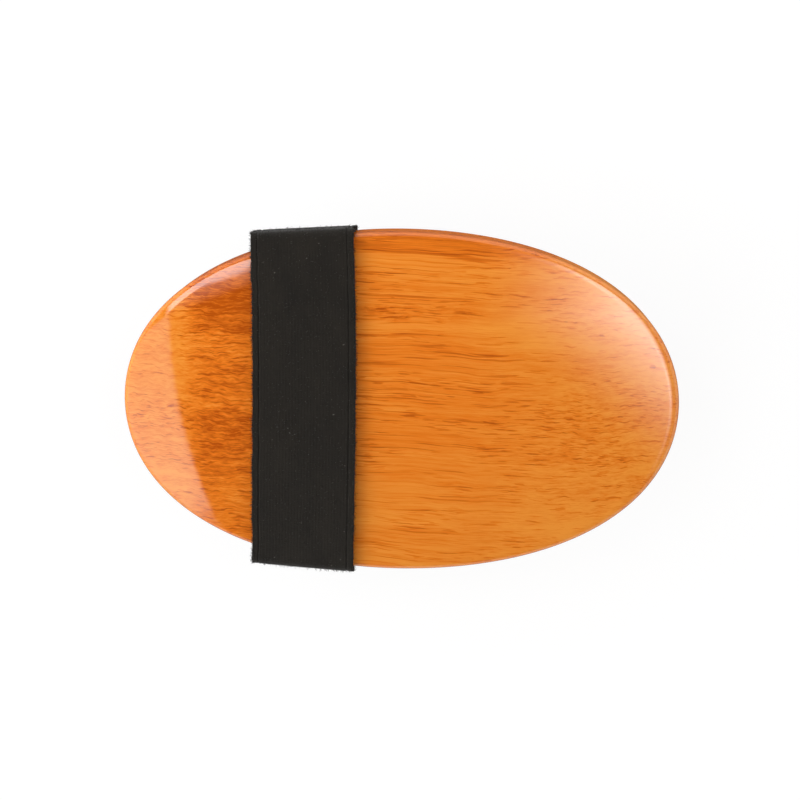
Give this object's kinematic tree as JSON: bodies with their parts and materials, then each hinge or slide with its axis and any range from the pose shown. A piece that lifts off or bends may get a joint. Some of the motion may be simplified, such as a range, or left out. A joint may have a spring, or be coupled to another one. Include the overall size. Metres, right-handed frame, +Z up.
{
  "type": "bristle brush",
  "caption": "Palm-held oval grooming brush: domed bamboo block with an elastic strap across its back and rows of boar tufts, each with a longer nylon quill.",
  "frame": {"origin": "under the middle of the block, on the plane of the quill tips that the brush stands on", "axes": "+X along the brush, from the strap's end towards the bare end; +Y across it, along the strap; +Z up, out of the back"},
  "size_m": [0.13, 0.082, 0.0404],
  "materials": {
    "bamboo": "gloss",
    "webbing": "matte",
    "boar_bristle": "satin",
    "nylon": "satin",
    "staple_wire": "satin",
    "anchor_wire": "satin"
  },
  "bodies": {
    "block": {"bamboo_body": "bamboo", "strap_end_front": "webbing", "strap_end_back": "webbing", "staples_front": "staple_wire", "staples_back": "staple_wire", "boar_tufts_row_1": "boar_bristle", "boar_tufts_row_2": "boar_bristle", "boar_tufts_row_3": "boar_bristle", "boar_tufts_row_4": "boar_bristle", "boar_tufts_row_5": "boar_bristle", "boar_tufts_row_6": "boar_bristle", "boar_tufts_row_7": "boar_bristle", "boar_tufts_row_8": "boar_bristle", "boar_tufts_row_9": "boar_bristle", "nylon_quills_row_1": "nylon", "nylon_quills_row_2": "nylon", "nylon_quills_row_3": "nylon", "nylon_quills_row_4": "nylon", "nylon_quills_row_5": "nylon", "nylon_quills_row_6": "nylon", "nylon_quills_row_7": "nylon", "nylon_quills_row_8": "nylon", "nylon_quills_row_9": "nylon", "anchor_wires_row_1": "anchor_wire", "anchor_wires_row_2": "anchor_wire", "anchor_wires_row_3": "anchor_wire", "anchor_wires_row_4": "anchor_wire", "anchor_wires_row_5": "anchor_wire", "anchor_wires_row_6": "anchor_wire", "anchor_wires_row_7": "anchor_wire", "anchor_wires_row_8": "anchor_wire", "anchor_wires_row_9": "anchor_wire"},
    "hand_strap": {"strap_span": "webbing"}
  },
  "joints": [
    {"name": "strap_lift", "type": "slide", "parent": "block", "child": "hand_strap", "axis": [0, 0, 1], "range_m": [0, 0.022], "stiffness_N_per_m": 400, "springref_m": -0.004, "deforming": ["strap_end_front", "strap_end_back"]}
  ]
}
